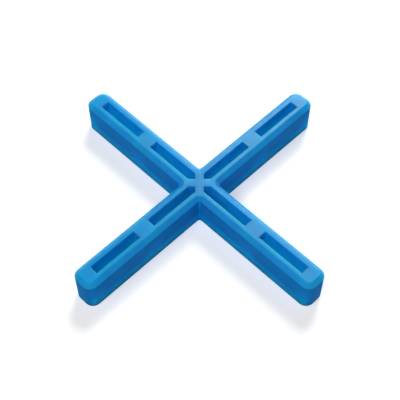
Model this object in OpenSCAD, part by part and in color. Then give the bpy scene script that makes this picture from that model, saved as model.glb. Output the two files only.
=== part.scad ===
// Cross-shaped tile spacer, moulded in one piece: four equal arms, a broad
// bevel round the whole top outline, and two coring slots through each arm.
// The four slots next to the middle end in a point, which leaves two ribs
// crossing on the diagonals. It stands on its flat underside, at z = 0.

/* [Cross] */
// Width of the joint that an arm fills
joint_w = 5; // [4:0.1:10]
// Length from tip to tip
span = 59.2; // [44:0.2:120]
// Height from the underside to the top face
body_h = 7.2; // [4:0.1:20]

/* [Edges] */
// How far the bevel reaches in from the sides
bevel_in = 0.88; // [0.3:0.02:1.3]
// How far the bevel reaches down from the top face
bevel_down = 0.84; // [0.3:0.02:3]
// Radius of the upright corners at the arm tips
tip_r = 1.75; // [1.4:0.05:1.9]
// Radius of the upright fillets where two arms meet
notch_r = 0.6; // [0.2:0.05:3]

/* [Slots] */
// Thickness of the wall on each side of a slot
side_wall = 1.6; // [1.35:0.05:1.9]
// Thickness of the solid end beyond the outer slot
end_wall = 3.3; // [2:0.1:6]
// Length of the outer slot
outer_slot_l = 10.4; // [4:0.2:14]
// Length of the solid bridge between the two slots of an arm
bridge_l = 3.4; // [1:0.1:7]
// Thickness of the two ribs that cross in the middle
rib_w = 1.65; // [0.8:0.05:4]

/* [Hidden] */
$fn = 96;
spacer_blue = "#2491d6";

// Quarter turns from one arm, or one notch, to the next
quarters = [0, 90, 180, 270];
half_w = joint_w / 2;
half_span = span / 2;
// Height at which the sides end and the bevel begins
side_h = body_h - bevel_down;
// Where the axes of the tip corners and of the notch fillets stand
tip_x = half_span - tip_r;
tip_y = half_w - tip_r;
notch_xy = half_w + notch_r;
// Slots, measured from the middle of the cross along an arm
slot_w = joint_w - 2 * side_wall;
outer_slot_end = half_span - end_wall;
outer_slot_start = outer_slot_end - outer_slot_l;
inner_slot_end = outer_slot_start - bridge_l;
// The point of an inner slot lies where the faces of the two ribs meet
slot_point = rib_w / sqrt(2);
slot_shoulder = slot_point + slot_w / 2;
// Slot cutters run past the top face and the underside by this much
overshoot = 1;

// Section with an upright side and a bevelled shoulder at +reach
module bevelled_half(reach, back) {
    polygon([
        [back, 0],
        [reach, 0],
        [reach, side_h],
        [reach - bevel_in, body_h],
        [back, body_h]
    ]);
}

// Section across an arm, bevelled on both shoulders
module arm_section() {
    bevelled_half(half_w, 0);
    mirror([1, 0])
        bevelled_half(half_w, 0);
}

// Two opposite arms in one run along X, without their rounded tips
module arm_pair() {
    rotate([90, 0, 90])
        linear_extrude(2 * tip_x, center = true)
            arm_section();
}

// Round bevelled post: one upright corner of a tip
module tip_corner() {
    cylinder(h = side_h, r = tip_r);
    translate([0, 0, side_h])
        cylinder(h = bevel_down, r1 = tip_r, r2 = tip_r - bevel_in);
}

// End of the arm that points along +X, between and including its corners
module tip() {
    rotate([90, 0, 0])
        linear_extrude(2 * tip_y, center = true)
            bevelled_half(half_span, tip_x - tip_r);
    for (side = [-1, 1])
        translate([tip_x, side * tip_y, 0])
            tip_corner();
}

// Hollow of one notch: its fillet, widening upwards to follow the bevel
module notch_cutter() {
    translate([notch_xy, notch_xy, -overshoot])
        cylinder(h = side_h + overshoot, r = notch_r);
    translate([notch_xy, notch_xy, side_h])
        cylinder(h = bevel_down, r1 = notch_r, r2 = notch_r + bevel_in);
}

// Middle of the cross, filling the four notches out to their fillets
module hub() {
    difference() {
        translate([-notch_xy, -notch_xy, 0])
            cube([2 * notch_xy, 2 * notch_xy, body_h]);
        for (turn = quarters)
            rotate(turn)
                notch_cutter();
    }
}

// Plan of the inner slot of the arm that points along +X
module inner_slot_plan() {
    polygon([
        [slot_point, 0],
        [slot_shoulder, -slot_w / 2],
        [inner_slot_end, -slot_w / 2],
        [inner_slot_end, slot_w / 2],
        [slot_shoulder, slot_w / 2]
    ]);
}

// Both slots of the arm that points along +X, open at top and bottom
module slot_cutters() {
    translate([0, 0, -overshoot])
        linear_extrude(body_h + 2 * overshoot) {
            inner_slot_plan();
            translate([outer_slot_start, -slot_w / 2])
                square([outer_slot_l, slot_w]);
        }
}

module cross_spacer() {
    color(spacer_blue)
        difference() {
            union() {
                hub();
                arm_pair();
                rotate(90)
                    arm_pair();
                for (turn = quarters)
                    rotate(turn)
                        tip();
            }
            for (turn = quarters)
                rotate(turn)
                    slot_cutters();
        }
}

cross_spacer();
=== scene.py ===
"""Looks of a moulded cross-shaped tile spacer: its plastic, softened edges, floor, light and camera."""
import math

import bpy
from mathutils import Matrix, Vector


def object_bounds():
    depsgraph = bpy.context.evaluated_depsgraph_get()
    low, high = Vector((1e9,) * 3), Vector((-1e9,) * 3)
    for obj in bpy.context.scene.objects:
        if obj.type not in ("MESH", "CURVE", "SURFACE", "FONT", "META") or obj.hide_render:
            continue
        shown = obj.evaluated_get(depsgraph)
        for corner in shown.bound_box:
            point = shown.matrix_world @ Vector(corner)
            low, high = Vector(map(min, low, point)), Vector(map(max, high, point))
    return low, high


MM = 0.001

# Camera, fitted to the edges of the spacer in the photograph
FRAME_PX = 400
HUB_PX = (199.48, 182.51)       # where the middle of the top face lies, from the upper left corner
CAMERA_AZIMUTH = 45.0
CAMERA_ELEVATION = 56.73
CAMERA_DEPTH = 179.6 * MM       # from the lens to the middle of the top face, along the view
SENSOR_MM = 36.0
LENS_MM = 86.89
CLIP_START, CLIP_END = 0.01, 20.0

# Rounding that the mould leaves on every edge
EDGE_R = 0.09 * MM
EDGE_SEGMENTS = 3
EDGE_ANGLE = 32.0               # edges that turn by more than this are rounded, in degrees
FLAT_ANGLE = 0.5                # facets that turn by less than this are joined first, in degrees
WELD_DISTANCE = 0.001 * MM

# Plastic: translucent to green and blue light, which red hardly enters. Apart from the top blue, these
# colours hold painted light and shade: lighter tops on the solid sections, painted shade on the outer
# and end walls, and painted glow at the foot, on the solid sections and low in the slots
TOP_BLUE = (0.0, 0.265, 0.65, 1)
# Painted light: the top of the solid sections is painted a little lighter than the rest of the top
SOLID_PAINTED_LIGHT_BLUE = (0.0, 0.3, 0.64, 1)    # top of the solid sections: bridges, tips and ribs
# Painted shade: the outer walls are painted darker, the end walls darker still
SIDE_PAINTED_SHADE_BLUE = (0.0, 0.174, 0.54, 1)   # upright walls along the arms
END_PAINTED_SHADE_BLUE = (0.0, 0.14, 0.48, 1)     # upright walls at the ends of the arms
# Painted glow: paler blue low on the outer walls, under the solid sections and along the ribs
PAINTED_GLOW_BLUE = (0.0, 0.33, 0.95, 1)    # where light comes out of the foot and of the solid sections
# Painted glow: paler blue low on the walls of the slots
SLOT_PAINTED_GLOW_BLUE = (0.0, 0.49, 0.92, 1)    # low on the walls of the slots
SCATTER = (0.3 * MM, 5.5 * MM, 5.0 * MM)
SPECULAR = 0.124
# Pairs of a face normal's Z and the roughness there: matt walls, duller bevel, polished top face
ROUGHNESS = ((0.1, 0.95), (0.6, 0.39), (0.8, 0.39), (0.97, 0.31))
UPRIGHT_FROM, UPRIGHT_TO = 0.6, 0.2             # size of the normal's Z, from level to upright faces
# Shape of the arms, as in the CAD model, to place the paler painted glow and the painted shade
WALL_FROM, WALL_TO = 1.7 * MM, 2.2 * MM         # across an arm: slots inside, outer wall beyond
END_FROM, END_TO = 28.2 * MM, 28.8 * MM         # along an arm: the end wall lies beyond
# Painted glow at the foot of the outer walls
FOOT_FROM, FOOT_TO = 3.0 * MM, 0.9 * MM         # height over which the foot grows paler
BRIDGE_MIDDLE = 14.2 * MM
BRIDGE_FROM, BRIDGE_TO = 3.2 * MM, 0.6 * MM     # distance from the middle of the bridge
TIP_FROM, TIP_TO = 25.0 * MM, 28.0 * MM
RIB_FROM, RIB_TO = 0.5 * MM, 0.1 * MM           # distance from the diagonal that a rib runs along
CORNER_FROM, CORNER_TO = 28.6 * MM, 29.5 * MM   # along an arm: from its side wall to its end wall
# Painted glow low on the walls under the solid sections
GLOW_FROM, GLOW_TO = 5.8 * MM, 2.6 * MM         # height under which a solid section is paler
# Painted glow growing downwards on the walls of the slots
SLOT_FROM, SLOT_TO = 6.4 * MM, 3.4 * MM         # height over which a slot grows paler downwards
# Shares of the painted glow at the foot, under the solid sections and along the ribs
FOOT_SHARE, SOLID_SHARE, RIB_SHARE = 0.95, 0.4, 0.7
END_SHARE = 0.25                                # part of the shares above that an end wall gets
# Mottling, uneven gloss, grain and waves of the moulding, as texture scales per metre
NOISE_LOW, NOISE_HIGH = 0.3, 0.7                # range of a noise texture that is used
MOTTLE_SCALE, MOTTLE_SPREAD = 420, 0.04
GLOSS_SCALE, GLOSS_SPREAD = 900, 0.04
GRAIN_SCALE, GRAIN_RELIEF = 7000, 0.006 * MM
WAVE_SCALE, WAVE_RELIEF = 260, 0.012 * MM

# Softboxes: azimuth, elevation, side length in metres and power in watts
LIGHT_DISTANCE = 0.5
SOFTBOXES = {
    "rim": (200, 7, 0.09, 0.93),
    "key": (211, 50, 0.16, 1.433),
    "overhead": (20, 63, 0.35, 1.5),
}
AMBIENT = 0.03
# Floor: white, with a glow that only the camera and reflections see, weakest round the object
FLOOR_SIZE = 4.0
FLOOR_WHITE = 0.86
GLOW_NEAR, GLOW_FAR = 0.32, 1.0
NEAR_RADIUS, FAR_RADIUS = 0.05, 0.4


def direction(azimuth, elevation):
    """Unit vector from the part towards a place round it, both angles in degrees."""
    a, e = math.radians(azimuth), math.radians(elevation)
    return Vector((math.sin(a) * math.cos(e), -math.cos(a) * math.cos(e), math.sin(e)))


def add_camera(target):
    """Camera that sees target at HUB_PX, from the fitted angle and distance."""
    data = bpy.data.cameras.new("photo_camera")
    data.sensor_width = SENSOR_MM
    data.lens = LENS_MM
    data.clip_start = CLIP_START
    data.clip_end = CLIP_END
    camera = bpy.data.objects.new("photo_camera", data)
    bpy.context.scene.collection.objects.link(camera)
    back = direction(CAMERA_AZIMUTH, CAMERA_ELEVATION)
    turn = (-back).to_track_quat("-Z", "Y")
    pixel = CAMERA_DEPTH * SENSOR_MM / LENS_MM / FRAME_PX
    across = (HUB_PX[0] - FRAME_PX / 2) * pixel
    down = (HUB_PX[1] - FRAME_PX / 2) * pixel
    right, up = turn @ Vector((1, 0, 0)), turn @ Vector((0, 1, 0))
    camera.location = target + back * CAMERA_DEPTH - right * across + up * down
    camera.rotation_mode = "QUATERNION"
    camera.rotation_quaternion = turn
    bpy.context.scene.camera = camera


def soften_edges(piece):
    """Rounds every edge of the moulding a little, on the CAD mesh as it is."""
    weld = piece.modifiers.new("weld", "WELD")
    weld.merge_threshold = WELD_DISTANCE
    flat = piece.modifiers.new("flat_faces", "DECIMATE")
    flat.decimate_type = "DISSOLVE"
    flat.angle_limit = math.radians(FLAT_ANGLE)
    bevel = piece.modifiers.new("mould_radius", "BEVEL")
    bevel.width = EDGE_R
    bevel.segments = EDGE_SEGMENTS
    bevel.limit_method = "ANGLE"
    bevel.angle_limit = math.radians(EDGE_ANGLE)
    bevel.loop_slide = False
    piece.modifiers.new("even_shading", "WEIGHTED_NORMAL")


def set_inputs(tree, node, inputs):
    """Sets each input to a value, or links it to another node's output."""
    for key, value in inputs.items():
        if isinstance(value, bpy.types.NodeSocket):
            tree.links.new(value, node.inputs[key])
        else:
            node.inputs[key].default_value = value


def add(tree, kind, inputs, **settings):
    """New node with its settings and inputs."""
    node = tree.nodes.new(kind)
    for name, value in settings.items():
        setattr(node, name, value)
    set_inputs(tree, node, inputs)
    return node


def calc(tree, operation, *values):
    """Result of a Math node."""
    return add(tree, "ShaderNodeMath", dict(enumerate(values)), operation=operation).outputs[0]


def fade(tree, value, start, end, low=0.0, high=1.0):
    """Runs smoothly from low at start to high at end, which may lie on either side of it."""
    limits = {"Value": value, "From Min": start, "From Max": end, "To Min": low, "To Max": high}
    node = add(tree, "ShaderNodeMapRange", limits, interpolation_type="SMOOTHSTEP")
    return node.outputs["Result"]


def mix_colours(tree, share, first, second):
    """First colour at a share of 0, second at 1."""
    # Inputs 6 and 7 of the node are its two colours
    inputs = {0: share, 6: first, 7: second}
    return add(tree, "ShaderNodeMix", inputs, data_type="RGBA").outputs[2]


def noise(tree, place, scale, detail):
    """Noise of about 0 to 1, fixed to the moulding."""
    inputs = {"Vector": place, "Scale": scale, "Detail": detail}
    return add(tree, "ShaderNodeTexNoise", inputs).outputs["Fac"]


def uneven(tree, place, scale, detail, middle, spread):
    """Noise that stays within spread of its middle value."""
    value = noise(tree, place, scale, detail)
    return fade(tree, value, NOISE_LOW, NOISE_HIGH, middle - spread, middle + spread)


def colour_of_plastic(tree, place, upright):
    """Blue with painted shade that deepens the outer walls, painted glow that makes them paler where
    light would come out, painted light on top of the solid sections, and a little mottling.
    """
    at = add(tree, "ShaderNodeSeparateXYZ", {0: place}).outputs
    x, y = calc(tree, "ABSOLUTE", at["X"]), calc(tree, "ABSOLUTE", at["Y"])
    along, across = calc(tree, "MAXIMUM", x, y), calc(tree, "MINIMUM", x, y)

    # Outer walls, which get painted shade, and the walls of the slots, which get a painted glow low
    # down
    wall = fade(tree, across, WALL_FROM, WALL_TO)
    end = fade(tree, along, END_FROM, END_TO)
    side = calc(tree, "MULTIPLY", calc(tree, "MAXIMUM", wall, end), upright)
    end_wall = fade(tree, along, CORNER_FROM, CORNER_TO)
    inside = calc(tree, "SUBTRACT", upright, side)
    slot_glow = calc(tree, "MULTIPLY", inside, fade(tree, at["Z"], SLOT_FROM, SLOT_TO))

    # Solid sections, and how much painted glow they and the foot give an outer wall
    from_bridge = calc(tree, "ABSOLUTE", calc(tree, "SUBTRACT", along, BRIDGE_MIDDLE))
    bridge = fade(tree, from_bridge, BRIDGE_FROM, BRIDGE_TO)
    tip = fade(tree, along, TIP_FROM, TIP_TO)
    rib = fade(tree, calc(tree, "SUBTRACT", along, across), RIB_FROM, RIB_TO)
    section = calc(tree, "MAXIMUM", rib, calc(tree, "MAXIMUM", bridge, tip))
    low_glow = fade(tree, at["Z"], GLOW_FROM, GLOW_TO, 0.0, SOLID_SHARE)
    rib_glow = calc(tree, "MULTIPLY", rib, RIB_SHARE)
    solid = calc(tree, "MAXIMUM", rib_glow, calc(tree, "MULTIPLY", section, low_glow))
    foot = fade(tree, at["Z"], FOOT_FROM, FOOT_TO, 0.0, FOOT_SHARE)
    share = calc(tree, "MINIMUM", calc(tree, "ADD", solid, foot), 1.0)
    less_at_ends = fade(tree, along, CORNER_FROM, CORNER_TO, 1.0, END_SHARE)
    painted_glow = calc(tree, "MULTIPLY", side, calc(tree, "MULTIPLY", share, less_at_ends))

    # Painted light on top of the solid sections
    colour = mix_colours(tree, section, TOP_BLUE, SOLID_PAINTED_LIGHT_BLUE)
    # Painted shade on the outer walls, deepest on the end walls
    colour = mix_colours(tree, side, colour, mix_colours(tree, end_wall, SIDE_PAINTED_SHADE_BLUE, END_PAINTED_SHADE_BLUE))
    # Painted glow at the foot, under the solid sections and along the ribs
    colour = mix_colours(tree, painted_glow, colour, PAINTED_GLOW_BLUE)
    # Painted glow low on the walls of the slots
    colour = mix_colours(tree, slot_glow, colour, SLOT_PAINTED_GLOW_BLUE)
    mottle = uneven(tree, place, MOTTLE_SCALE, 3, 1.0, MOTTLE_SPREAD)
    mottled = add(tree, "ShaderNodeVectorMath", {0: colour, "Scale": mottle}, operation="SCALE")
    return mottled.outputs["Vector"]


def roughness_of_plastic(tree, place, facing):
    """Roughness by how far a face looks up, with a fine unevenness."""
    ramp = add(tree, "ShaderNodeValToRGB", {"Fac": facing})
    stops = ramp.color_ramp.elements
    stops[0].position, stops[1].position = ROUGHNESS[0][0], ROUGHNESS[-1][0]
    for position, _ in ROUGHNESS[1:-1]:
        stops.new(position)
    for stop, (_, value) in zip(stops, ROUGHNESS):
        stop.color = (value, value, value, 1)
    gloss = uneven(tree, place, GLOSS_SCALE, 4, 0.0, GLOSS_SPREAD)
    return calc(tree, "ADD", ramp.outputs["Color"], gloss)


def surface_of_plastic(tree, place, upright):
    """Slight waves of the shrunk moulding, and the fine grain of the mould on its walls."""
    waves = {"Height": noise(tree, place, WAVE_SCALE, 1), "Distance": WAVE_RELIEF}
    wave = add(tree, "ShaderNodeBump", waves)
    height = calc(tree, "MULTIPLY", noise(tree, place, GRAIN_SCALE, 2), upright)
    grain = {"Height": height, "Distance": GRAIN_RELIEF, "Normal": wave.outputs[0]}
    return add(tree, "ShaderNodeBump", grain).outputs[0]


def plastic():
    """Translucent moulded plastic with a glossy top and matt walls, and painted shade and glow in its
    colour.
    """
    material = bpy.data.materials.new("moulded_plastic")
    material.use_nodes = True
    tree = material.node_tree
    coordinates = tree.nodes.new("ShaderNodeTexCoord")
    place = coordinates.outputs["Object"]
    facing = add(tree, "ShaderNodeSeparateXYZ", {0: coordinates.outputs["Normal"]}).outputs["Z"]
    upright = fade(tree, calc(tree, "ABSOLUTE", facing), UPRIGHT_FROM, UPRIGHT_TO)
    reach = max(SCATTER)
    set_inputs(tree, tree.nodes["Principled BSDF"], {
        "Base Color": colour_of_plastic(tree, place, upright),
        "Roughness": roughness_of_plastic(tree, place, facing),
        "Normal": surface_of_plastic(tree, place, upright),
        "Specular IOR Level": SPECULAR,
        "Subsurface Weight": 1.0,
        "Subsurface Radius": [r / reach for r in SCATTER],
        "Subsurface Scale": reach,
    })
    return material


def seen_directly(tree):
    """1 for rays from the camera, in reflections and through clear bodies, else 0."""
    path = tree.nodes.new("ShaderNodeLightPath").outputs
    direct = calc(tree, "MAXIMUM", path["Is Camera Ray"], path["Is Glossy Ray"])
    return calc(tree, "MAXIMUM", direct, path["Is Transmission Ray"])


def floor_material():
    """White floor that keeps a soft shadow round the object and runs into the white background."""
    material = bpy.data.materials.new("floor_white")
    material.use_nodes = True
    tree = material.node_tree
    place = tree.nodes.new("ShaderNodeTexCoord").outputs["Object"]
    radius = add(tree, "ShaderNodeVectorMath", {0: place}, operation="LENGTH").outputs["Value"]
    glow = fade(tree, radius, NEAR_RADIUS, FAR_RADIUS, GLOW_NEAR, GLOW_FAR)
    set_inputs(tree, tree.nodes["Principled BSDF"], {
        "Base Color": (FLOOR_WHITE, FLOOR_WHITE, FLOOR_WHITE, 1),
        "Roughness": 1.0,
        "Specular IOR Level": 0.0,
        "Emission Color": (1, 1, 1, 1),
        "Emission Strength": calc(tree, "MULTIPLY", glow, seen_directly(tree)),
    })
    return material


def add_world():
    """Dim even light all round, which the camera and reflections see as white."""
    world = bpy.data.worlds.new("studio")
    world.use_nodes = True
    tree = world.node_tree
    strength = fade(tree, seen_directly(tree), 0.0, 1.0, AMBIENT, 1.0)
    white = {"Color": (1, 1, 1, 1), "Strength": strength}
    set_inputs(tree, tree.nodes["Background"], white)
    bpy.context.scene.world = world


def add_softbox(name, azimuth, elevation, size, watts):
    """Square lamp that looks at the part, and that the camera doesn't see."""
    data = bpy.data.lights.new(name, "AREA")
    data.shape = "SQUARE"
    data.size = size
    data.energy = watts
    lamp = bpy.data.objects.new(name, data)
    bpy.context.scene.collection.objects.link(lamp)
    towards = direction(azimuth, elevation)
    lamp.location = towards * LIGHT_DISTANCE
    lamp.rotation_mode = "QUATERNION"
    lamp.rotation_quaternion = (-towards).to_track_quat("-Z", "Y")
    lamp.visible_camera = False


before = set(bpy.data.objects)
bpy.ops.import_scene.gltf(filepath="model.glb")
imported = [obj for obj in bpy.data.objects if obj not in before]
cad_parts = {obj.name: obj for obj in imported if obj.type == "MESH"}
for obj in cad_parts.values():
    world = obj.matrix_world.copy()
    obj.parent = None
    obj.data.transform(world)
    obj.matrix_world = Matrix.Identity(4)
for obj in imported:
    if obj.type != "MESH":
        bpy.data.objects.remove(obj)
cad_low, cad_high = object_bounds()
add_camera(Vector((0, 0, cad_high.z)))

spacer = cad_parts["cross_spacer"]
soften_edges(spacer)
spacer.data.materials.clear()
spacer.data.materials.append(plastic())

bpy.ops.mesh.primitive_plane_add(size=FLOOR_SIZE)
floor = bpy.context.object
floor.name = "floor"
floor.data.materials.append(floor_material())

for name, (azimuth, elevation, size, watts) in SOFTBOXES.items():
    add_softbox(name, azimuth, elevation, size, watts)
add_world()
bpy.context.scene.view_settings.view_transform = "Standard"
